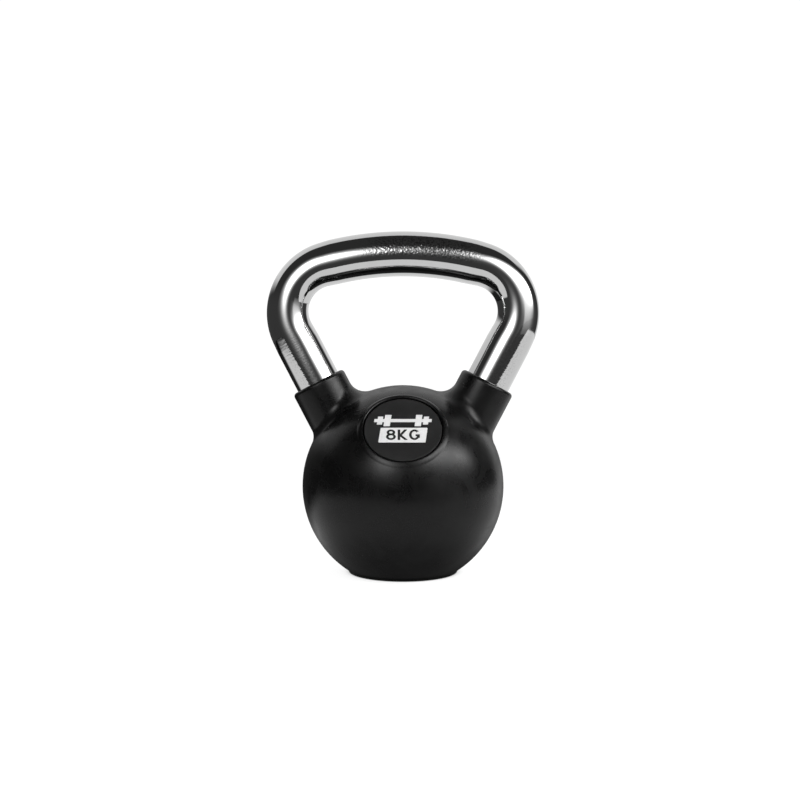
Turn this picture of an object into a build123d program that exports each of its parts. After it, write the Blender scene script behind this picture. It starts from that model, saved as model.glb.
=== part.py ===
from build123d import *
import os
from math import asin, atan2, cos, degrees, radians, sin, sqrt, tan

# A chrome-handled kettlebell: a cast-iron ball with a flat foot, a bent steel bar welded to it,
# and a moulded rubber coat that covers the ball and runs a little way up both legs as collars.
#
# Frame: millimetres, +Z up, origin at the middle of the foot, on the floor.
# The handle stands in the XZ plane, and the badge faces -Y and up.

# ---- driving dimensions -------------------------------------------------------------------------
OVERALL_HEIGHT = 220.0  # floor to the top of the grip

BALL_DIAMETER = 130.0  # over the rubber
BALL_CENTRE_HEIGHT = 56.0  # so the ball is cut flat 9 mm short of its full depth
COAT_THICKNESS = 6.5  # rubber over the iron
CORE_EDGE_RADIUS = 4.0  # rounding of the iron's flat, under the rubber
FOOT_DIAMETER = 70.6  # flat foot, a little wider than the ball is at the floor
FOOT_HEIGHT = 3.0  # its upper part is buried in the ball
FOOT_EDGE_RADIUS = 0.8

BAR_DIAMETER = 28.8
GRIP_ARCH_RADIUS = 194.0  # centreline of the gently bowed grip
CORNER_RADIUS = 31.5  # centreline of the two tight bends
LEG_TILT = 27.5  # degrees from upright, legs closing towards the ball
LEG_HALF_SPACING = 55.0  # leg axis to the middle plane, at the height of the collar rims

COLLAR_DIAMETER = 36.2
COLLAR_RIM_HEIGHT = 123.2  # where the leg axis leaves its collar
COLLAR_EDGE_RADIUS = 2.4
COLLAR_ROOT_RADIUS = 6.0  # fillet between collar and ball

SEAT_DEPTH = 1.0  # iron beside the outer edge of the bar's end
SEAT_CLEARANCE = 0.15  # round the bar's end, in its spot-faced seat in the iron
WELD_WIDTH = 3.4
WELD_HEIGHT = 2.8  # over the iron's surface
WELD_ROUNDING = 2.0

BADGE_ELEVATION = 41.0  # degrees the badge looks up from level
BADGE_POCKET_DIAMETER = 49.0
BADGE_GAP = 0.9  # dark groove between the disc and its pocket
BADGE_THICKNESS = 2.0
BADGE_EDGE_RADIUS = 0.4
BADGE_FACE_SINK = 0.2  # disc face below the pocket's mouth
ADHESIVE_THICKNESS = 0.2
POCKET_FLOOR_THICKNESS = 1.5  # rubber between pocket and iron
RIM_BEAD_WIDTH = 3.6  # low rounded bead round the pocket, one side of it on the pocket's edge
RIM_BEAD_HEIGHT = 0.5  # over the ball

MARK_THICKNESS = 0.25  # white marks stand this far off the disc
PLATE_SIZE = (28.4, 11.0)  # white parallelogram that carries the weight figure
PLATE_SLANT = 7.0  # degrees from upright
PLATE_CORNER_RADIUS = 0.5
PLATE_DROP = 4.6  # centre of the plate below the centre of the disc
FIGURE_HEIGHT = 8.1
FIGURE_STROKE = 1.6
FIGURE_RISE = 0.3  # middle of the figures above the middle of the plate
FIGURE_WIDTHS = (6.0, 6.3, 6.5)  # of the three figures, from left to right
FIGURE_PLACES = (-7.3, -0.1, 6.9)  # their middles, from the middle of the plate
EMBLEM_SIZE = (35.0, 8.6)  # plain barbell sign above the plate
EMBLEM_RISE = 6.5

# ---- sizes that follow from those ---------------------------------------------------------------
ball_radius = BALL_DIAMETER / 2
core_radius = ball_radius - COAT_THICKNESS
bar_radius = BAR_DIAMETER / 2
collar_radius = COLLAR_DIAMETER / 2
ball_centre = Vector(0, 0, BALL_CENTRE_HEIGHT)

tilt = radians(LEG_TILT)
leg_up = Vector(sin(tilt), 0, cos(tilt))  # along the right leg, away from the ball
leg_out = Vector(cos(tilt), 0, -sin(tilt))  # across the right leg, away from the middle
rim_point = Vector(LEG_HALF_SPACING, 0, COLLAR_RIM_HEIGHT)
# how far the leg axis passes beside the ball's centre, and the axis point that is beside it
leg_miss = (rim_point - ball_centre).dot(leg_out)
leg_foot = ball_centre + leg_out * leg_miss
# the bar ends where the outer edge of its end face is SEAT_DEPTH under the iron's surface
seat_distance = sqrt(core_radius**2 - (leg_miss + bar_radius) ** 2) - SEAT_DEPTH
leg_end = leg_foot + leg_up * seat_distance
leg_plane = Plane(origin=leg_foot, x_dir=(0, 1, 0), z_dir=leg_up)

badge_tilt = radians(BADGE_ELEVATION)
badge_normal = Vector(0, -cos(badge_tilt), sin(badge_tilt))
pocket_radius = BADGE_POCKET_DIAMETER / 2
disc_radius = pocket_radius - BADGE_GAP
mouth_distance = sqrt(ball_radius**2 - pocket_radius**2)  # ball centre to the pocket's mouth
face_distance = mouth_distance - BADGE_FACE_SINK
floor_distance = face_distance - BADGE_THICKNESS - ADHESIVE_THICKNESS
flat_distance = floor_distance - POCKET_FLOOR_THICKNESS  # flat on the iron behind the badge
# the bead is the top of a torus sunk so far into the ball that only its width and height show
bead_radius = (RIM_BEAD_WIDTH**2 / 4 + RIM_BEAD_HEIGHT**2) / (2 * RIM_BEAD_HEIGHT)
bead_angle = asin((pocket_radius + RIM_BEAD_WIDTH / 2) / ball_radius)
bead_depth = ball_radius + RIM_BEAD_HEIGHT - bead_radius


def badge_plane(distance):
    """The plane across the badge axis at a distance from the ball's centre, its Y pointing up."""
    return Plane(
        origin=ball_centre + badge_normal * distance, x_dir=(1, 0, 0), z_dir=badge_normal
    )


def mirrored(shape):
    """The same shape on the other leg."""
    return mirror(shape, about=Plane.YZ)


def opposite(point):
    """The same point on the other leg."""
    return Vector(-point.X, point.Y, point.Z)


# ---- handle -------------------------------------------------------------------------------------
def bar_centreline():
    """Right leg, tight corner, bowed grip, tight corner and left leg, each tangent to the next."""
    grip_top = OVERALL_HEIGHT - bar_radius
    arch_centre = Vector(0, 0, grip_top - GRIP_ARCH_RADIUS)
    # The corner's centre is CORNER_RADIUS inside the leg axis, and the difference of the two
    # radii away from the arch's centre, so the corner touches both.
    inside = rim_point - leg_out * CORNER_RADIUS - arch_centre
    along = inside.dot(leg_up)
    reach = GRIP_ARCH_RADIUS - CORNER_RADIUS
    travel = -along + sqrt(along**2 - inside.dot(inside) + reach**2)
    corner_centre = arch_centre + inside + leg_up * travel
    towards_grip = (corner_centre - arch_centre).normalized()
    grip_end = arch_centre + towards_grip * GRIP_ARCH_RADIUS
    leg_top = corner_centre + leg_out * CORNER_RADIUS
    corner_middle = corner_centre + (towards_grip + leg_out).normalized() * CORNER_RADIUS

    return Wire(
        [
            Line(leg_end, leg_top),
            ThreePointArc(leg_top, corner_middle, grip_end),
            ThreePointArc(grip_end, Vector(0, 0, grip_top), opposite(grip_end)),
            ThreePointArc(opposite(grip_end), opposite(corner_middle), opposite(leg_top)),
            Line(opposite(leg_top), opposite(leg_end)),
        ]
    )


def handle_bar():
    """Solid round bar, bent to shape, both ends cut square."""
    end_face = Plane(origin=leg_end, z_dir=leg_up) * Circle(bar_radius)
    return sweep(end_face, path=bar_centreline())


# ---- ball ---------------------------------------------------------------------------------------
def cut_ball(radius, foot_height):
    """A ball about ball_centre, cut flat at foot_height."""
    reach = sqrt(radius**2 - (BALL_CENTRE_HEIGHT - foot_height) ** 2)
    foot_middle = Vector(0, 0, foot_height)
    foot_rim = Vector(0, reach, foot_height)
    ball_side = ball_centre + Vector(0, radius, 0)
    ball_top = ball_centre + Vector(0, 0, radius)
    outline = Wire(
        [
            Line(foot_middle, foot_rim),
            ThreePointArc(foot_rim, ball_side, ball_top),
            Line(ball_top, foot_middle),
        ]
    )
    return revolve(Face(outline), axis=Axis.Z)


def foot():
    """Round flat foot with a rounded lower edge, its top buried in the ball."""
    alignment = (Align.CENTER, Align.CENTER, Align.MIN)
    plate = Cylinder(FOOT_DIAMETER / 2, FOOT_HEIGHT, align=alignment)
    return fillet(plate.edges().sort_by(Axis.Z)[0], FOOT_EDGE_RADIUS)


def ball(radius):
    """A whole ball about the same centre."""
    return Pos(*ball_centre) * Sphere(radius)


def leg_rod(radius, start, end):
    """A round rod along the right leg's axis, its distances counted from beside the ball's centre."""
    rod = Cylinder(radius, end - start, align=(Align.CENTER, Align.CENTER, Align.MIN))
    return leg_plane.offset(start) * rod


def badge_rod(radius, start, end):
    """A round rod along the badge axis, its distances counted from the ball's centre."""
    rod = Cylinder(radius, end - start, align=(Align.CENTER, Align.CENTER, Align.MIN))
    return badge_plane(start) * rod


def core_blank():
    """The iron before its seats are cut: a ball with a flat foot and a flat behind the badge."""
    behind_badge = badge_rod(core_radius, flat_distance, core_radius + 1)
    cast = cut_ball(core_radius, COAT_THICKNESS)
    flat_edge = cast.edges().filter_by(GeomType.CIRCLE).sort_by(Axis.Z)[0]
    return fillet(flat_edge, CORE_EDGE_RADIUS) - behind_badge


def iron_core():
    """Cast ball with a spot-faced seat for the square end of each leg."""
    seat = leg_rod(bar_radius + SEAT_CLEARANCE, seat_distance, ball_radius)
    return core_blank() - seat - mirrored(seat)


def weld_envelope():
    """The weld's outside round the right leg: a short rod with a rounded toe, the ball's shape on top."""
    ring = leg_rod(bar_radius + WELD_WIDTH, seat_distance, ball_radius)
    ring = ring & ball(core_radius + WELD_HEIGHT)
    toe = ring.edges().filter_by(GeomType.BSPLINE)
    return fillet(toe, WELD_ROUNDING)


def leg_weld():
    """Ring of weld metal round the right leg, of even height over the iron."""
    return weld_envelope() - ball(core_radius) - leg_rod(bar_radius, 0, ball_radius)


# ---- rubber coat --------------------------------------------------------------------------------
def collar():
    """Rubber sleeve round the right leg, from inside the ball to its rim, the rim's edge rounded."""
    rim_distance = (rim_point - leg_foot).dot(leg_up)
    sleeve = leg_rod(collar_radius, 0, rim_distance)
    rim = sleeve.edges().filter_by(GeomType.CIRCLE).sort_by(Axis.Z)[-1]
    return fillet(rim, COLLAR_EDGE_RADIUS)


def rubber_coat():
    """Skin with two collars and a rimmed pocket, moulded round the iron, the welds and the legs."""
    outside = cut_ball(ball_radius, FOOT_EDGE_RADIUS) + foot() + collar() + mirrored(collar())
    collar_roots = outside.edges().filter_by(GeomType.BSPLINE)
    outside = fillet(collar_roots, COLLAR_ROOT_RADIUS)
    bead = Torus(bead_depth * sin(bead_angle), bead_radius)
    bead = badge_plane(bead_depth * cos(bead_angle)) * bead
    pocket = badge_rod(pocket_radius, floor_distance, ball_radius + 1)
    leg = leg_rod(bar_radius, seat_distance, OVERALL_HEIGHT)
    weld = weld_envelope()
    coat = outside + bead - pocket - core_blank()
    for hidden in (leg, weld):
        coat = coat - hidden - mirrored(hidden)
    return coat


# ---- badge --------------------------------------------------------------------------------------
def badge_adhesive():
    """Thin round layer on the pocket's floor."""
    return badge_rod(disc_radius - 1, floor_distance, floor_distance + ADHESIVE_THICKNESS)


def badge_disc():
    """Flat round disc with its front edge broken."""
    disc = badge_rod(disc_radius, floor_distance + ADHESIVE_THICKNESS, face_distance)
    front_edge = disc.edges().filter_by(GeomType.CIRCLE).sort_by(Axis((0, 0, 0), badge_normal))[-1]
    return fillet(front_edge, BADGE_EDGE_RADIUS)


def slanted(width, height, x=0, y=0):
    """A parallelogram that leans right by PLATE_SLANT, its middle at x, y before leaning."""
    lean = tan(radians(PLATE_SLANT))
    low, high = y - height / 2, y + height / 2
    left, right = x - width / 2, x + width / 2
    corners = [
        (left + low * lean, low),
        (right + low * lean, low),
        (right + high * lean, high),
        (left + high * lean, high),
    ]
    return Polygon(*corners, align=None)


def bar_between(start, end):
    """A straight stroke of the figures, from point to point."""
    across = Vector(*end) - Vector(*start)
    middle = (Vector(*end) + Vector(*start)) / 2
    turn = degrees(atan2(across.Y, across.X))
    return Pos(middle.X, middle.Y) * Rot(0, 0, turn) * Rectangle(across.length, FIGURE_STROKE)


def ring(width, height):
    """An oval stroke of the figures, by its outer size."""
    hole = Ellipse(width / 2 - FIGURE_STROKE, height / 2 - FIGURE_STROKE)
    return Ellipse(width / 2, height / 2) - hole


def figure_eight(width):
    """Two ovals, the upper one smaller, sharing one stroke where they meet."""
    both = FIGURE_HEIGHT + FIGURE_STROKE  # sum of the two outer heights
    low_height, high_height = both * 0.53, both * 0.47
    low = Pos(0, (low_height - FIGURE_HEIGHT) / 2) * ring(width, low_height)
    high = Pos(0, (FIGURE_HEIGHT - high_height) / 2) * ring(width * 0.88, high_height)
    return low + high


def letter_k(width):
    """A stem and two arms that meet it half way up."""
    half = FIGURE_HEIGHT / 2
    left = -width / 2
    stem = Pos(left + FIGURE_STROKE / 2, 0) * Rectangle(FIGURE_STROKE, FIGURE_HEIGHT)
    knee = (left + FIGURE_STROKE, -half * 0.1)
    arms = bar_between(knee, (-left - 0.5, half + 1)) + bar_between(knee, (-left, -half - 1))
    window = Rectangle(width, FIGURE_HEIGHT)
    return stem + (arms & window)


def letter_g(width):
    """An open oval with a short bar running in from its right side and a spur under the bar."""
    quarter = FIGURE_HEIGHT / 4
    opening = Pos(width / 2, quarter * 0.55) * Rectangle(width * 0.55, quarter * 1.1)
    bar = Pos(width * 0.3, -FIGURE_STROKE / 4) * Rectangle(width * 0.4, FIGURE_STROKE)
    spur = Pos(width / 2 - FIGURE_STROKE / 2, -quarter * 0.7) * Rectangle(FIGURE_STROKE, quarter)
    return ring(width, FIGURE_HEIGHT) - opening + bar + spur


def weight_figure():
    """The weight in kilograms, in plain strokes."""
    shapes = (figure_eight, letter_k, letter_g)
    figure = Sketch()
    for shape, width, place in zip(shapes, FIGURE_WIDTHS, FIGURE_PLACES):
        figure += Pos(place, FIGURE_RISE) * shape(width)
    return figure


def raised(sketch):
    """A flat drawing on the badge, grown outwards to the thickness of the marks."""
    return badge_plane(face_distance) * extrude(sketch, MARK_THICKNESS)


def weight_plate():
    """White parallelogram under the middle of the badge, the figure cut through it."""
    plate = slanted(*PLATE_SIZE)
    plate = fillet(plate.vertices(), PLATE_CORNER_RADIUS)
    return raised(Pos(0, -PLATE_DROP) * (plate - weight_figure()))


def badge_marks():
    """White sign of a loaded bar over the plate: one bar, two discs at each end."""
    length, height = EMBLEM_SIZE
    sign = slanted(length, height * 0.26)
    for side in (-1, 1):
        sign += slanted(length * 0.11, height, x=side * length * 0.27)
        sign += slanted(length * 0.09, height * 0.7, x=side * length * 0.4)
    return raised(Pos(0, EMBLEM_RISE) * sign)


# ---- export -------------------------------------------------------------------------------------
parts = {
    "handle_bar": handle_bar(),
    "iron_core": iron_core(),
    "right_leg_weld": leg_weld(),
    "left_leg_weld": mirrored(leg_weld()),
    "rubber_coat": rubber_coat(),
    "badge_adhesive": badge_adhesive(),
    "badge_disc": badge_disc(),
    "weight_plate": weight_plate(),
    "badge_marks": badge_marks(),
}
os.makedirs("parts", exist_ok=True)
for node, shape in parts.items():
    export_step(shape, f"parts/{node}.step")
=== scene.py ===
import math

import bmesh
import bpy
import numpy as np
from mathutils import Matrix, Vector


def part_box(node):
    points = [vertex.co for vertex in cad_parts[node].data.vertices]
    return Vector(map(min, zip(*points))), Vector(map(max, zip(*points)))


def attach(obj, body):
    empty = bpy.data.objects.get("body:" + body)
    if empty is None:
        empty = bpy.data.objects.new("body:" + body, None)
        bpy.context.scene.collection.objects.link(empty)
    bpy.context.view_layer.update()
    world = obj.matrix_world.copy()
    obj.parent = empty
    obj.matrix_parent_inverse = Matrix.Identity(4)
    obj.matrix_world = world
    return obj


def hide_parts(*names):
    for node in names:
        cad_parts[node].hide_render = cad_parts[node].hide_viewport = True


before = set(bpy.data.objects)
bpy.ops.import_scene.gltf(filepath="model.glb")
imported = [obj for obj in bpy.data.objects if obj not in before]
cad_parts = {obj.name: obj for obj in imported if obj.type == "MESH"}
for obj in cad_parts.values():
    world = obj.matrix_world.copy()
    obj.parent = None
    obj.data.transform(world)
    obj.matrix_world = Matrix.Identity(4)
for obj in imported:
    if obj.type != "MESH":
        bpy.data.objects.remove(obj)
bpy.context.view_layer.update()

# Metres. +Z is up, the foot stands on z = 0, the handle is in the XZ plane and the badge faces -Y.
MM = 0.001

# ---- sizes read from the frame ------------------------------------------------------------------
bar_low, bar_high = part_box("handle_bar")
coat_low, coat_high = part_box("rubber_coat")
TOP = bar_high.z
BAR_RADIUS = (bar_high.y - bar_low.y) / 2
BAR_END_HEIGHT = bar_low.z
BALL_RADIUS = coat_high.y

# ---- driving dimensions, the same as the part's -------------------------------------------------
BALL_CENTRE = np.array([0, 0, 56.0]) * MM
FOOT_RADIUS = 35.3 * MM
FOOT_EDGE_RADIUS = 0.8 * MM
GRIP_ARCH_RADIUS = 194.0 * MM
CORNER_RADIUS = 31.5 * MM
LEG_TILT = math.radians(27.5)
RIM_POINT = np.array([55.0, 0, 123.2]) * MM  # right leg's axis in the plane of its collar's rim
COLLAR_RADIUS = 18.1 * MM
COLLAR_EDGE_RADIUS = 2.4 * MM
BADGE_ELEVATION = math.radians(41.0)
POCKET_RADIUS = 24.5 * MM
POCKET_FLOOR = 57.8 * MM  # distance of the pocket's floor from the ball's centre
BEAD_WIDTH = 3.6 * MM
BEAD_HEIGHT = (0.75 * MM, 0.10 * MM)  # over the ball, above the badge and below it
POCKET_EDGE_RADIUS = (1.3 * MM, 0.4 * MM)  # above the badge and below it

LEG_UP = np.array([math.sin(LEG_TILT), 0, math.cos(LEG_TILT)])
LEG_OUT = np.array([math.cos(LEG_TILT), 0, -math.sin(LEG_TILT)])
BADGE_NORMAL = np.array([0, -math.cos(BADGE_ELEVATION), math.sin(BADGE_ELEVATION)])
BADGE_UP = np.array([0, math.sin(BADGE_ELEVATION), math.cos(BADGE_ELEVATION)])
LEG_FOOT = BALL_CENTRE + LEG_OUT * ((RIM_POINT - BALL_CENTRE) @ LEG_OUT)
RIM_DISTANCE = (RIM_POINT - LEG_FOOT) @ LEG_UP


# ---- mesh helpers -------------------------------------------------------------------------------
def new_piece(name, vertices, faces, material, stands_for=()):
    """A smooth-shaded mesh that rides on the one body."""
    mesh = bpy.data.meshes.new(name)
    mesh.from_pydata([tuple(v) for v in vertices], [], faces)
    mesh.update()
    piece = bpy.data.objects.new(name, mesh)
    bpy.context.scene.collection.objects.link(piece)
    mesh.shade_smooth()
    mesh.materials.append(material)
    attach(piece, "root")
    if stands_for:
        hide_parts(*stands_for)
    return piece


def grid_faces(rings, points, close_rings=False):
    """Quads between rings of the same number of points, each ring closed on itself."""
    faces = []
    for i in range(rings if close_rings else rings - 1):
        for j in range(points):
            a, b = i * points, (i + 1) % rings * points
            k = (j + 1) % points
            faces.append((a + j, a + k, b + k, b + j))
    return faces


def arc_points(centre, radius, start, end, steps):
    """(radius, height) points of an arc, angles in degrees from the radius direction."""
    turns = np.radians(np.linspace(start, end, steps + 1))
    return [(centre[0] + radius * math.cos(t), centre[1] + radius * math.sin(t)) for t in turns]


# ---- material helpers ---------------------------------------------------------------------------
class Nodes:
    """A material with one Principled shader, and short calls for the nodes that feed it."""

    def __init__(self, name, **sockets):
        self.material = bpy.data.materials.new(name)
        self.material.use_nodes = True
        self.tree = self.material.node_tree
        self.shader = self.tree.nodes["Principled BSDF"]
        for socket, value in sockets.items():
            self.shader.inputs[socket.replace("_", " ")].default_value = value

    def add(self, kind, inputs=(), **settings):
        node = self.tree.nodes.new(kind)
        for key, value in settings.items():
            setattr(node, key, value)
        for socket, value in dict(inputs).items():
            self.feed(node.inputs[socket], value)
        return node

    def feed(self, socket, value):
        """Links a node's output, or sets a plain value."""
        if isinstance(value, bpy.types.NodeSocket):
            self.tree.links.new(value, socket)
        else:
            socket.default_value = value

    def position(self):
        return self.add("ShaderNodeTexCoord").outputs["Object"]

    def axes(self, vector):
        return self.add("ShaderNodeSeparateXYZ", {"Vector": vector}).outputs

    def noise(self, where, scale, detail=2.0, roughness=0.5, distortion=0.0):
        inputs = {"Vector": where, "Scale": scale, "Detail": detail}
        inputs.update({"Roughness": roughness, "Distortion": distortion})
        return self.add("ShaderNodeTexNoise", inputs).outputs["Fac"]

    def stretch(self, where, scale):
        node = self.add("ShaderNodeMapping", {"Vector": where, "Scale": scale})
        return node.outputs["Vector"]

    def span(self, value, low, high, to_low=0.0, to_high=1.0):
        """Maps low..high to to_low..to_high, smoothly and clamped."""
        inputs = {"Value": value, "From Min": low, "From Max": high}
        inputs.update({"To Min": to_low, "To Max": to_high})
        node = self.add("ShaderNodeMapRange", inputs, interpolation_type="SMOOTHSTEP")
        return node.outputs["Result"]

    def maths(self, operation, first, second=0.0):
        node = self.add("ShaderNodeMath", {0: first, 1: second}, operation=operation)
        return node.outputs["Value"]

    def from_middle(self, axes):
        """Distance from the object's upright axis."""
        x_square = self.maths("MULTIPLY", axes["X"], axes["X"])
        y_square = self.maths("MULTIPLY", axes["Y"], axes["Y"])
        return self.maths("SQRT", self.maths("ADD", x_square, y_square))

    def blend(self, share, first, second):
        node = self.add("ShaderNodeMix", {"Factor": share}, data_type="RGBA")
        self.feed(node.inputs[6], first)
        self.feed(node.inputs[7], second)
        return node.outputs[2]

    def bump(self, height, distance, strength=1.0, under=None):
        inputs = {"Height": height, "Distance": distance, "Strength": strength}
        if under is not None:
            inputs["Normal"] = under
        return self.add("ShaderNodeBump", inputs).outputs["Normal"]

    def set(self, **sockets):
        for socket, value in sockets.items():
            self.feed(self.shader.inputs[socket.replace("_", " ")], value)
        return self.material


def grey(value):
    return (value, value, value, 1.0)


# ---- materials ----------------------------------------------------------------------------------
def chrome_material():
    """Bright plate over a hand-polished bar: slow waves all over, grains and dark specks where the
    palm goes, and fainter grains and fine rings round the bar on the legs."""
    m = Nodes("chrome_plate", Metallic=1.0, IOR=2.5)
    # Along the bar from its middle, out of the handle's loop, and across the loop's plane.
    straight = m.add("ShaderNodeAttribute", attribute_name="straight_bar").outputs["Vector"]
    axes = m.axes(straight)
    along, outward, sideways = axes["X"], axes["Y"], axes["Z"]

    corner_end, leg_start = 95 * MM, 125 * MM  # along the bar
    leg = m.span(m.maths("ABSOLUTE", along), corner_end, leg_start)
    leg = m.maths("MULTIPLY", leg, m.span(outward, -6 * MM, 0.0))
    worn_middle, on_legs = 12 * MM, 0.22  # how far to the right, and how strong on the legs
    from_worn = m.maths("ABSOLUTE", m.maths("ADD", along, worn_middle))
    worn = m.span(from_worn, 18 * MM, 44 * MM, 1.0, 0.0)
    worn = m.maths("MAXIMUM", worn, m.maths("MULTIPLY", leg, on_legs))
    front = m.span(sideways, -2 * MM, 4 * MM, 1.0, 0.0)
    upper = m.span(outward, -3.5 * MM, -0.5 * MM)
    below_top = m.span(outward, 8 * MM, 11 * MM, 1.0, 0.0)
    for share in (front, upper, below_top):
        worn = m.maths("MULTIPLY", worn, share)

    waves = m.noise(straight, 45.0, detail=2.0)
    grains = m.maths("SUBTRACT", m.noise(straight, 720.0, detail=1.0), 0.5)
    patches = m.span(m.noise(straight, 55.0, detail=2.0), 0.40, 0.62)
    rings = m.noise(m.stretch(straight, (1100.0, 50.0, 50.0)), 1.0, detail=1.0)
    rings = m.maths("MULTIPLY", rings, m.maths("MULTIPLY", patches, leg))
    normal = m.bump(waves, 0.16 * MM, 0.5)
    normal = m.bump(rings, 0.045 * MM, 0.6, under=normal)
    normal = m.bump(m.maths("MULTIPLY", grains, worn), 0.20 * MM, 0.8, under=normal)

    clouds = m.blend(m.noise(straight, 90.0, detail=4.0), grey(0.50), grey(0.55))
    specks = m.span(m.noise(straight, 1100.0, detail=1.0), 0.50, 0.60)
    tint = m.blend(m.maths("MULTIPLY", specks, worn), clouds, grey(0.20))
    roughness = m.span(m.noise(straight, 120.0, detail=3.0), 0.35, 0.75, 0.055, 0.075)
    return m.set(Base_Color=tint, Roughness=roughness, Normal=normal)


def rubber_material():
    """Black moulded rubber, satin, faintly mottled, with a fine skin, duller to a grazing eye."""
    m = Nodes("black_rubber", IOR=1.45, Specular_IOR_Level=0.22)
    where = m.position()
    mottle = m.noise(where, 70.0, detail=5.0, roughness=0.6, distortion=0.6)
    bloom = m.noise(where, 11.0, detail=2.0)
    skin = m.noise(where, 1400.0, detail=2.0)
    peel = m.noise(where, 160.0, detail=3.0)
    colour = m.blend(m.span(mottle, 0.3, 0.75), grey(0.002), grey(0.004))
    roughness = m.maths(
        "ADD", m.span(mottle, 0.3, 0.7, 0.23, 0.33), m.span(bloom, 0.3, 0.7, -0.02, 0.04)
    )
    facing = m.add("ShaderNodeLayerWeight", {"Blend": 0.5}).outputs["Facing"]
    roughness = m.maths("ADD", roughness, m.span(facing, 0.6, 0.95, 0.0, 0.25))
    normal = m.bump(peel, 0.10 * MM, 0.5)
    normal = m.bump(skin, 0.012 * MM, 0.5, under=normal)
    return m.set(Base_Color=colour, Roughness=roughness, Normal=normal)


def badge_material():
    """Matte dark plastic with a fine even grain."""
    m = Nodes("badge_plastic", IOR=1.45, Specular_IOR_Level=0.22)
    where = m.position()
    grain = m.noise(where, 2200.0, detail=2.0)
    clouds = m.noise(where, 120.0, detail=3.0)
    colour = m.blend(m.span(clouds, 0.3, 0.7), grey(0.008), grey(0.011))
    roughness = m.span(clouds, 0.3, 0.7, 0.50, 0.58)
    return m.set(Base_Color=colour, Roughness=roughness, Normal=m.bump(grain, 0.015 * MM, 0.5))


def print_material():
    """White ink, a little uneven over the grain under it."""
    m = Nodes("white_print", IOR=1.45, Specular_IOR_Level=0.4)
    where = m.position()
    cover = m.noise(where, 900.0, detail=3.0)
    colour = m.blend(m.span(cover, 0.3, 0.7), grey(0.54), grey(0.59))
    roughness = m.span(cover, 0.3, 0.7, 0.48, 0.6)
    return m.set(Base_Color=colour, Roughness=roughness, Normal=m.bump(cover, 0.01 * MM, 0.5))


def iron_material():
    """Sand-cast iron."""
    m = Nodes("cast_iron", Metallic=0.6)
    where = m.position()
    sand = m.noise(where, 900.0, detail=4.0, roughness=0.65)
    rust = m.span(m.noise(where, 60.0, detail=5.0), 0.5, 0.8)
    colour = m.blend(rust, grey(0.09), (0.13, 0.07, 0.045, 1.0))
    roughness = m.span(sand, 0.3, 0.7, 0.6, 0.85)
    return m.set(Base_Color=colour, Roughness=roughness, Normal=m.bump(sand, 0.12 * MM, 0.8))


def weld_material():
    """Weld metal laid in overlapping ripples, heat-tinted."""
    m = Nodes("weld_metal", Metallic=0.9)
    where = m.position()
    ripples = m.noise(where, 420.0, detail=2.0)
    heat = m.noise(where, 90.0, detail=2.0)
    colour = m.blend(heat, (0.30, 0.29, 0.28, 1.0), (0.22, 0.18, 0.14, 1.0))
    roughness = m.span(ripples, 0.3, 0.7, 0.35, 0.6)
    return m.set(Base_Color=colour, Roughness=roughness, Normal=m.bump(ripples, 0.3 * MM, 0.7))


def adhesive_material():
    """Clear yellowish glue with trapped bubbles."""
    m = Nodes("adhesive", IOR=1.45)
    where = m.position()
    bubbles = m.span(m.noise(where, 700.0, detail=1.0), 0.6, 0.7)
    colour = m.blend(bubbles, (0.62, 0.56, 0.42, 1.0), (0.80, 0.77, 0.68, 1.0))
    roughness = m.span(bubbles, 0.0, 1.0, 0.25, 0.4)
    return m.set(Base_Color=colour, Roughness=roughness)


chrome = chrome_material()
rubber = rubber_material()
node_materials = {
    "iron_core": iron_material(),
    "left_leg_weld": weld_material(),
    "badge_adhesive": adhesive_material(),
    "badge_disc": badge_material(),
    "weight_plate": print_material(),
}
node_materials["right_leg_weld"] = node_materials["left_leg_weld"]
node_materials["badge_marks"] = node_materials["weight_plate"]
for node, material in node_materials.items():
    for material_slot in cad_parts[node].material_slots:
        material_slot.material = material


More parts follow.
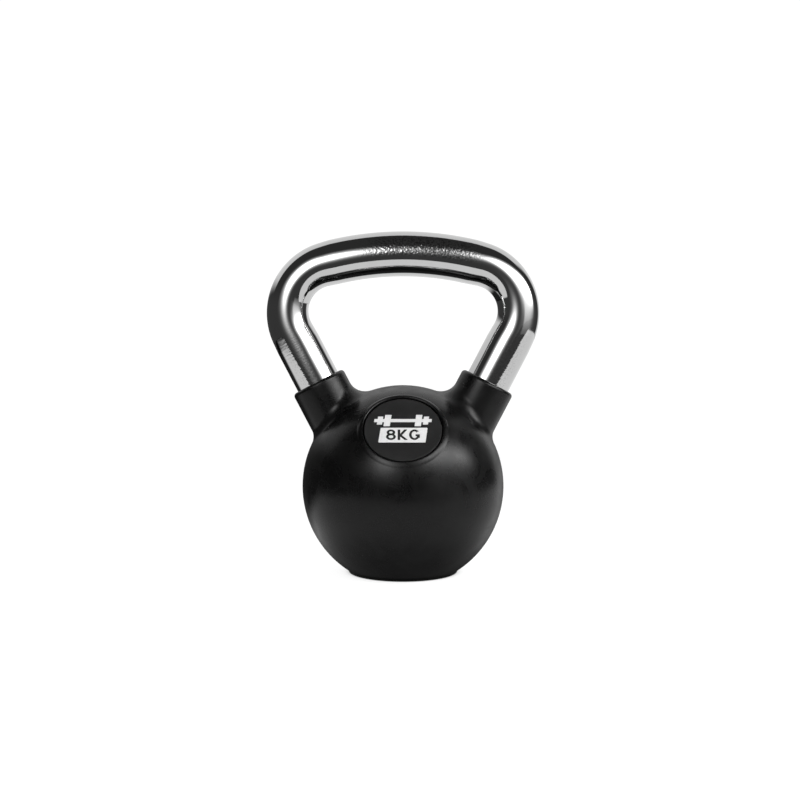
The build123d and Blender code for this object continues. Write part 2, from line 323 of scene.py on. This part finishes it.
# ---- handle -------------------------------------------------------------------------------------
def half_centreline(step):
    """Points up the right leg, round the corner and along the grip to its middle, with how much
    the bending has flattened the bar at each of them, from 0 to 1."""
    arch_centre = np.array([0, 0, TOP - BAR_RADIUS - GRIP_ARCH_RADIUS])
    inside = RIM_POINT - LEG_OUT * CORNER_RADIUS - arch_centre
    along = inside @ LEG_UP
    reach = GRIP_ARCH_RADIUS - CORNER_RADIUS
    travel = -along + math.sqrt(along**2 - inside @ inside + reach**2)
    corner_centre = arch_centre + inside + LEG_UP * travel
    leg_top = corner_centre + LEG_OUT * CORNER_RADIUS
    end_centre_height = BAR_END_HEIGHT + BAR_RADIUS * math.sin(LEG_TILT)
    leg_length = (leg_top[2] - end_centre_height) / math.cos(LEG_TILT)

    grip_end = (corner_centre - arch_centre) / reach
    grip_turn = math.atan2(grip_end[0], grip_end[2])  # from upright, seen along +Y
    leg_turn = math.pi / 2 + LEG_TILT
    corner_length = CORNER_RADIUS * (leg_turn - grip_turn)
    arch_length = GRIP_ARCH_RADIUS * grip_turn
    points, places = [], []  # a place is the distance along the bar from where the corner starts
    for share in np.linspace(0, 1, round(leg_length / step), endpoint=False):
        points.append(leg_top - LEG_UP * leg_length * (1 - share))
        places.append(-leg_length * (1 - share))
    for share in np.linspace(0, 1, round(corner_length / step), endpoint=False):
        turn = leg_turn + (grip_turn - leg_turn) * share
        spoke = np.array([math.sin(turn), 0, math.cos(turn)])
        points.append(corner_centre + CORNER_RADIUS * spoke)
        places.append(corner_length * share)
    for share in np.linspace(0, 1, round(arch_length / step)):
        turn = grip_turn * (1 - share)
        spoke = np.array([math.sin(turn), 0, math.cos(turn)])
        points.append(arch_centre + GRIP_ARCH_RADIUS * spoke)
        places.append(corner_length + arch_length * share)
    reach_beyond = 7 * MM  # how far a bend's flattening runs out past the corner
    from_bend = (np.array(places) - corner_length / 2) / (corner_length / 2 + reach_beyond)
    bends = np.cos(np.clip(from_bend, -1, 1) * math.pi / 2)
    return np.array(points), bends


def make_handle():
    """The bent bar, a little flattened where it was bent, closed by flat ends."""
    step, around = 0.9 * MM, 128
    flattening, spreading = 0.08, 0.01
    half, half_bend = half_centreline(step)
    mirror = np.array([-1, 1, 1])
    path = np.vstack([half, (half[:-1] * mirror)[::-1]])
    bend = np.concatenate([half_bend, half_bend[:-1][::-1]])
    forward = np.gradient(path, axis=0)
    forward /= np.linalg.norm(forward, axis=1)[:, None]
    inward = np.cross(forward, [0, 1, 0])
    travelled = np.concatenate([[0], np.cumsum(np.linalg.norm(np.diff(path, axis=0), axis=1))])
    vertices, straight = [], []
    for centre, side, share, distance in zip(path, inward, bend, travelled):
        for k in range(around):
            turn = 2 * math.pi * k / around
            in_plane = BAR_RADIUS * (1 - flattening * share) * math.cos(turn)
            sideways = BAR_RADIUS * (1 + spreading * share) * math.sin(turn)
            vertices.append(centre + side * in_plane + np.array([0, sideways, 0]))
            straight.append((distance - travelled[-1] / 2, -in_plane, sideways))
    faces = grid_faces(len(path), around)
    faces.append(tuple(range(around))[::-1])
    last = (len(path) - 1) * around
    faces.append(tuple(range(last, last + around)))
    handle = new_piece("chrome_handle", vertices, faces, chrome, ["handle_bar"])
    attribute = handle.data.attributes.new("straight_bar", "FLOAT_VECTOR", "POINT")
    attribute.data.foreach_set("vector", np.array(straight, np.float32).ravel())
    return handle


# ---- rubber coat --------------------------------------------------------------------------------
def rounded_inside(first, second, radius):
    """Distance to what is inside both shapes, the edge between them rounded off."""
    corner = np.hypot(np.maximum(radius + first, 0), np.maximum(radius + second, 0))
    return np.minimum(-radius, np.maximum(first, second)) + corner


def rounded_join(first, second, radius):
    """Distance to two shapes joined, the groove between them filled to a radius."""
    groove = np.hypot(np.maximum(radius - first, 0), np.maximum(radius - second, 0))
    return np.maximum(radius, np.minimum(first, second)) - groove


def coat_distance(points):
    """Signed distance from points to the ball with its two collars, with no foot and no pocket."""
    points = points.copy()
    points[:, 0] = np.abs(points[:, 0])
    ball = np.linalg.norm(points - BALL_CENTRE, axis=1) - BALL_RADIUS
    from_foot = points - LEG_FOOT
    along = from_foot @ LEG_UP
    outward = from_foot @ LEG_OUT
    radial = np.hypot(outward, points[:, 1])
    sleeve = rounded_inside(radial - COLLAR_RADIUS, along - RIM_DISTANCE, COLLAR_EDGE_RADIUS)
    sleeve = np.maximum(sleeve, -along)
    tight, generous = 3.5, 10.0  # the root's radius outside the collars and between them, mm
    inner = (1 - outward / np.maximum(radial, MM)) / 2
    root = (tight + (generous - tight) * np.clip(inner, 0, 1) ** 1.5) * MM
    return rounded_join(ball, sleeve, root)


def coat_gradient(points, step=0.02 * MM):
    """Direction in which the distance grows."""
    gradient = np.empty_like(points)
    for axis in range(3):
        shift = np.zeros(3)
        shift[axis] = step
        gradient[:, axis] = coat_distance(points + shift) - coat_distance(points - shift)
    return gradient / (2 * step)


def pull_to_coat(points, rounds):
    for _ in range(rounds):
        gradient = coat_gradient(points)
        size = np.maximum((gradient**2).sum(1), 0.25)
        points = points - gradient * (coat_distance(points) / size)[:, None]
    return points


def rough_coat():
    """Ball and collars as overlapping plain forms, for the remesher to join."""
    b = bmesh.new()
    bmesh.ops.create_icosphere(b, subdivisions=5, radius=BALL_RADIUS)
    bmesh.ops.translate(b, verts=b.verts, vec=BALL_CENTRE)
    for side in (-1, 1):
        up = Vector((side * LEG_UP[0], 0, LEG_UP[2]))
        base = Vector((side * LEG_FOOT[0], 0, LEG_FOOT[2]))
        size = {"radius1": COLLAR_RADIUS, "radius2": COLLAR_RADIUS, "depth": RIM_DISTANCE}
        tube = bmesh.ops.create_cone(b, cap_ends=True, segments=64, **size)
        turn = up.to_track_quat("Z", "Y").to_matrix().to_4x4()
        bmesh.ops.transform(b, matrix=turn, verts=tube["verts"])
        bmesh.ops.translate(b, verts=tube["verts"], vec=base + up * RIM_DISTANCE / 2)
    mesh = bpy.data.meshes.new("rough_coat")
    b.to_mesh(mesh)
    b.free()
    return mesh


def remeshed(mesh, voxel):
    """The mesh rebuilt as even quads."""
    carrier = bpy.data.objects.new("remesh_carrier", mesh)
    bpy.context.scene.collection.objects.link(carrier)
    modifier = carrier.modifiers.new("Remesh", "REMESH")
    modifier.mode = "VOXEL"
    modifier.voxel_size = voxel
    modifier.adaptivity = 0
    graph = bpy.context.evaluated_depsgraph_get()
    result = bpy.data.meshes.new_from_object(carrier.evaluated_get(graph))
    bpy.data.objects.remove(carrier)
    return result


def relaxed(points, edges, rounds):
    """Points slid towards the middle of their neighbours, and back onto the coat."""
    count = np.bincount(edges.ravel(), minlength=len(points))[:, None]
    for _ in range(rounds):
        total = np.zeros_like(points)
        np.add.at(total, edges[:, 0], points[edges[:, 1]])
        np.add.at(total, edges[:, 1], points[edges[:, 0]])
        points = pull_to_coat(points + 0.5 * (total / count - points), 1)
    return pull_to_coat(points, 3)


def rebuild_end(b, origin, axis, cut, profile, low_profile=None):
    """Cuts the closed mesh off across an axis, and closes it again with a round profile, whose
    points are (radius, distance along the axis). A low profile turns gradually into the other one
    from the bottom of the badge to its top."""
    origin, axis = Vector(origin), Vector(axis)
    everything = b.verts[:] + b.edges[:] + b.faces[:]
    where = {"plane_co": origin + axis * cut, "plane_no": axis}
    bmesh.ops.bisect_plane(b, geom=everything, clear_outer=True, **where)
    rim = [v for v in b.verts if v.is_boundary]
    bmesh.ops.remove_doubles(b, verts=rim, dist=0.3 * MM)
    edges = [e for e in b.edges if e.is_boundary]
    plain = b.faces.layers.int["plain"]
    for upper, lower in zip(profile, low_profile or profile):
        grown = bmesh.ops.extrude_edge_only(b, edges=edges)["geom"]
        edges = [e for e in grown if isinstance(e, bmesh.types.BMEdge)]
        for element in grown:
            if isinstance(element, bmesh.types.BMFace):
                element[plain] = 0
            elif isinstance(element, bmesh.types.BMVert):
                spoke = element.co - origin
                spoke = (spoke - axis * spoke.dot(axis)).normalized()
                share = 0.5 + 0.5 * spoke.dot(Vector(BADGE_UP))
                radius, height = Vector(lower).lerp(Vector(upper), share)
                element.co = origin + spoke * radius + axis * height
    for face in bmesh.ops.contextual_create(b, geom=edges)["faces"]:
        face[plain] = 0


def foot_profile():
    """From the ball down the foot's short side and round its edge, distances counted downwards."""
    points = []
    for height in (4.5, 3.2, 2.2):
        drop = BALL_CENTRE[2] - height * MM
        points.append((math.sqrt(BALL_RADIUS**2 - drop**2), drop))
    points.append((FOOT_RADIUS, math.sqrt(BALL_RADIUS**2 - FOOT_RADIUS**2)))
    edge = (FOOT_RADIUS - FOOT_EDGE_RADIUS, BALL_CENTRE[2] - FOOT_EDGE_RADIUS)
    points += arc_points(edge, FOOT_EDGE_RADIUS, 0, 90, 8)
    return points + [(FOOT_RADIUS - 3 * MM, BALL_CENTRE[2])]


def pocket_profile(bead_height, edge):
    """Over the low bead, round the pocket's edge and down its wall."""
    half = BEAD_WIDTH / 2
    section = (half**2 + bead_height**2) / (2 * bead_height)  # radius of the bead's round section
    edge_start = 82  # degrees from the radius direction, where the bead turns into the rounding
    first = POCKET_RADIUS + BEAD_WIDTH + 0.6 * MM  # on the plain ball
    last = POCKET_RADIUS + edge * (1 + math.cos(math.radians(edge_start)))
    points = []
    for radius in np.linspace(first, last, 30):
        out = radius - POCKET_RADIUS - half
        rise = math.sqrt(section**2 - min(abs(out), half) ** 2) - section + bead_height
        points.append((radius, math.sqrt(BALL_RADIUS**2 - radius**2) + rise))
    edge_height = points[-1][1] - edge * math.sin(math.radians(edge_start))
    points += arc_points((POCKET_RADIUS + edge, edge_height), edge, edge_start, 180, 8)[1:]
    return points + [(POCKET_RADIUS, POCKET_FLOOR), (POCKET_RADIUS - 3 * MM, POCKET_FLOOR)]


def collar_profile():
    """Round the collar's edge, over its flat rim, and down along the bar with a small rounding."""
    edge = (COLLAR_RADIUS - COLLAR_EDGE_RADIUS, RIM_DISTANCE - COLLAR_EDGE_RADIUS)
    lip_radius = 0.7 * MM
    lip = (BAR_RADIUS + lip_radius, RIM_DISTANCE - lip_radius)
    points = arc_points(edge, COLLAR_EDGE_RADIUS, 0, 90, 12)
    points += arc_points(lip, lip_radius, 90, 180, 6)
    return points + [(BAR_RADIUS - 0.1 * MM, RIM_DISTANCE - 2 * MM)]


def make_coat():
    """Ball with a flat foot, two collars and a rimmed pocket for the badge, as one skin."""
    mesh = remeshed(rough_coat(), 1.1 * MM)
    points = np.empty(len(mesh.vertices) * 3, np.float32)
    mesh.vertices.foreach_get("co", points)
    edges = np.empty(len(mesh.edges) * 2, np.int32)
    mesh.edges.foreach_get("vertices", edges)
    points = pull_to_coat(points.reshape(-1, 3).astype(float), 5)
    points = relaxed(points, edges.reshape(-1, 2), 8)
    mesh.vertices.foreach_set("co", points.astype(np.float32).ravel())

    b = bmesh.new()
    b.from_mesh(mesh)
    plain = b.faces.layers.int.new("plain")
    for face in b.faces:
        face[plain] = 1
    above, below = (pocket_profile(*sizes) for sizes in zip(BEAD_HEIGHT, POCKET_EDGE_RADIUS))
    pocket_cut = above[0][1]  # as high as the profile's first point, which is on the ball
    rebuild_end(b, BALL_CENTRE, BADGE_NORMAL, pocket_cut, above, below)
    rebuild_end(b, BALL_CENTRE, (0, 0, -1), BALL_CENTRE[2] - 6 * MM, foot_profile())
    for side in (-1, 1):
        flip = np.array([side, 1, 1])
        rebuild_end(b, LEG_FOOT * flip, LEG_UP * flip, RIM_DISTANCE - 4 * MM, collar_profile())
    bmesh.ops.recalc_face_normals(b, faces=b.faces)
    skin = bpy.data.meshes.new("rubber_skin")
    b.to_mesh(skin)
    b.free()
    bpy.data.meshes.remove(mesh)

    piece = bpy.data.objects.new("rubber_skin", skin)
    bpy.context.scene.collection.objects.link(piece)
    skin.shade_smooth()
    skin.set_sharp_from_angle(angle=math.radians(30))
    set_plain_normals(skin)
    skin.materials.append(rubber)
    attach(piece, "root")
    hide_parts("rubber_coat")
    return piece


def set_plain_normals(skin):
    """Exact shading normals where the skin is the plain coat, and the mesh's own elsewhere."""
    points = np.empty(len(skin.vertices) * 3, np.float32)
    skin.vertices.foreach_get("co", points)
    gradient = coat_gradient(points.reshape(-1, 3).astype(float))
    gradient /= np.linalg.norm(gradient, axis=1)[:, None]
    corner_points = np.empty(len(skin.loops), np.int32)
    skin.loops.foreach_get("vertex_index", corner_points)
    plain = np.empty(len(skin.polygons), np.int32)
    skin.attributes["plain"].data.foreach_get("value", plain)
    sizes = np.empty(len(skin.polygons), np.int32)
    skin.polygons.foreach_get("loop_total", sizes)
    normals = gradient[corner_points] * np.repeat(plain, sizes)[:, None]
    skin.normals_split_custom_set([tuple(n) for n in normals])
    skin.attributes.remove(skin.attributes["plain"])


make_handle()
make_coat()


# ---- stage: floor, light and camera -------------------------------------------------------------
def card(name, corners, material, **seen_by):
    """A flat piece of the stage. seen_by switches off the kinds of rays that pass through it."""
    mesh = bpy.data.meshes.new(name)
    mesh.from_pydata(corners, [], [tuple(range(len(corners)))])
    mesh.materials.append(material)
    piece = bpy.data.objects.new(name, mesh)
    bpy.context.scene.collection.objects.link(piece)
    for kind, seen in seen_by.items():
        setattr(piece, "visible_" + kind, seen)
    return piece


def make_floor():
    """A white floor without an end, its glow lowered where the foot meets it as a painted contact
    shadow.

    What the chrome and the rubber mirror is another, limited white table top, with a painted shadow
    round the foot."""
    m = Nodes("floor", Roughness=0.9, Specular_IOR_Level=0.0)
    where = m.position()
    grain = m.noise(where, 300.0)
    colour = m.blend(grain, grey(0.13), grey(0.15))
    inside_foot = m.maths("SUBTRACT", FOOT_RADIUS - 1 * MM, m.from_middle(m.axes(where)))
    # Painted contact shadow: the floor's glow is lowered close round the foot's edge.
    lit, darkest = 0.97, 0.12
    painted_contact_shadows = []
    for reach, depth in ((1.6 * MM, 0.55), (9.0 * MM, 0.06)):
        fading = m.maths("EXPONENT", m.maths("DIVIDE", inside_foot, reach))
        painted_contact_shadows.append(m.maths("MULTIPLY", fading, depth))
    glow = m.maths("MAXIMUM", m.maths("SUBTRACT", lit, m.maths("ADD", *painted_contact_shadows)), darkest)
    m.set(Base_Color=colour, Emission_Color=grey(1.0), Emission_Strength=glow)
    corners = [(-5, -2, 0), (5, -2, 0), (5, 8, 0), (-5, 8, 0)]
    card("floor", corners, m.material, glossy=False)

    m = Nodes("mirrored_table", Roughness=0.9, Specular_IOR_Level=0.0, Base_Color=grey(0.0))
    axes = m.axes(m.position())
    # Painted shadow of the ball: the table's glow falls off towards the foot.
    glow = m.span(m.from_middle(axes), 25 * MM, 110 * MM, 0.05, 1.0)
    # Behind the left leg there is no table, which leaves the outside of that leg dark.
    on_left = m.span(axes["X"], -0.16, -0.02, 1.0, 0.0)
    missing = m.maths("MULTIPLY", on_left, m.span(axes["Y"], 0.03, 0.13))
    full_glow = 1.02
    glow = m.maths("MULTIPLY", glow, m.maths("SUBTRACT", full_glow, missing))
    left, right, front, back = -0.47, 0.76, -0.310, 1.5
    left_fade, right_fade = 0.10, 0.06
    for edge, inside in ((left, left + left_fade), (right, right - right_fade)):
        glow = m.maths("MULTIPLY", glow, m.span(axes["X"], edge, inside))
    m.set(Emission_Color=grey(1.0), Emission_Strength=glow)
    corners = [(left, front), (right, front), (right, back), (left, back)]
    corners = [(x, y, -1 * MM) for x, y in corners]
    hidden = {"camera": False, "diffuse": False, "shadow": False}
    card("mirrored_table", corners, m.material, **hidden)


def make_softbox(name, start, end, low, high, radiance):
    """An upright soft light over a line in plan, from low to high, that fades out all round.

    It is a glowing card larger than the light, unseen by the camera."""
    fade, margin, floor_clearance = 0.046, 0.25, 0.02
    start, end = Vector((*start, 0)), Vector((*end, 0))
    length = (end - start).length
    bottom = max(low - margin, floor_clearance)
    m = Nodes(name)
    m.tree.nodes.remove(m.shader)
    axes = m.axes(m.position())
    glow = radiance
    for axis, edge, sense in (("X", 0, 1), ("X", length, -1), ("Z", low, 1), ("Z", high, -1)):
        inside = m.maths("MULTIPLY", m.maths("SUBTRACT", axes[axis], edge), -sense / fade)
        step = m.maths("DIVIDE", 1.0, m.maths("ADD", m.maths("EXPONENT", inside), 1.0))
        glow = m.maths("MULTIPLY", step, glow)
    glowing = m.add("ShaderNodeEmission", {"Strength": glow}).outputs[0]
    see_through = m.add("ShaderNodeBsdfTransparent").outputs[0]
    both = m.add("ShaderNodeAddShader", {0: glowing, 1: see_through}).outputs[0]
    m.feed(m.tree.nodes["Material Output"].inputs["Surface"], both)
    corners = [(-margin, 0, bottom), (length + margin, 0, bottom)]
    corners += [(length + margin, 0, high + margin), (-margin, 0, high + margin)]
    softbox = card(name, corners, m.material, camera=False, shadow=False)
    softbox.location = start
    softbox.rotation_euler = (0, 0, math.atan2(end.y - start.y, end.x - start.x))


def make_world():
    """White to the eye; to the object a dim room with a white sweep behind and above it."""
    world = bpy.data.worlds.new("studio")
    bpy.context.scene.world = world
    world.use_nodes = True
    tree = world.node_tree
    tree.nodes.clear()

    def node(kind, inputs=(), **settings):
        made = tree.nodes.new(kind)
        for key, value in settings.items():
            setattr(made, key, value)
        for socket, value in dict(inputs).items():
            if isinstance(value, bpy.types.NodeSocket):
                tree.links.new(value, made.inputs[socket])
            else:
                made.inputs[socket].default_value = value
        return made

    def ramp(value, low, high):
        inputs = {"Value": value, "From Min": low, "From Max": high}
        return node("ShaderNodeMapRange", inputs, interpolation_type="SMOOTHSTEP").outputs["Result"]

    def maths(operation, first, second):
        return node("ShaderNodeMath", {0: first, 1: second}, operation=operation).outputs["Value"]

    direction = node("ShaderNodeTexCoord").outputs["Generated"]
    axes = node("ShaderNodeSeparateXYZ", {"Vector": direction}).outputs
    low_left = maths("ADD", axes["Z"], maths("MULTIPLY", axes["X"], 0.46))
    behind = maths("MULTIPLY", ramp(axes["Y"], 0.17, 0.25), ramp(low_left, -0.14, 0.12))
    behind = maths("MULTIPLY", behind, ramp(axes["X"], 0.78, 0.64))
    ceiling = ramp(axes["Z"], 0.1, 0.5)
    room_glow, sweep_glow, ceiling_glow = 0.06, 0.95, -0.02  # the last two come on top
    sweep = maths("MULTIPLY", behind, sweep_glow)
    overhead = maths("MULTIPLY", ceiling, ceiling_glow)
    strength = maths("ADD", maths("ADD", sweep, overhead), room_glow)
    seen = node("ShaderNodeLightPath").outputs["Is Camera Ray"]
    backdrop = 1.05  # just over white
    eye = node("ShaderNodeBackground", {"Color": grey(1.0), "Strength": backdrop})
    room = node("ShaderNodeBackground", {"Color": grey(1.0), "Strength": strength})
    mix = node("ShaderNodeMixShader", {0: seen, 1: room.outputs[0], 2: eye.outputs[0]})
    node("ShaderNodeOutputWorld", {"Surface": mix.outputs[0]})


def make_camera():
    """Level with the collars, close to the object, turned a hair to its left."""
    looks_down, looks_left = math.radians(2.18), math.radians(0.16)
    camera = bpy.data.cameras.new("camera")
    camera.sensor_width = 36.0
    camera.lens = 48.68
    camera.clip_start, camera.clip_end = 0.01, 20.0
    seen_from = bpy.data.objects.new("camera", camera)
    seen_from.location = (0, -0.700, 0.138)
    seen_from.rotation_euler = (math.pi / 2 - looks_down, 0, looks_left)
    bpy.context.scene.collection.objects.link(seen_from)
    bpy.context.scene.camera = seen_from


make_floor()
# from and to in plan, from and to in height, radiance
make_softbox("softbox_left", (-0.115, -0.532), (-0.257, -0.435), 0.290, 0.422, 20.6)
make_softbox("softbox_right", (0.211, -0.472), (0.789, -0.067), 0.375, 0.480, 25.5)
make_softbox("bounce_card", (0.467, -0.70), (0.467, -0.111), 0.12, 0.26, 1.2)
make_world()
make_camera()
bpy.context.scene.view_settings.view_transform = "Standard"
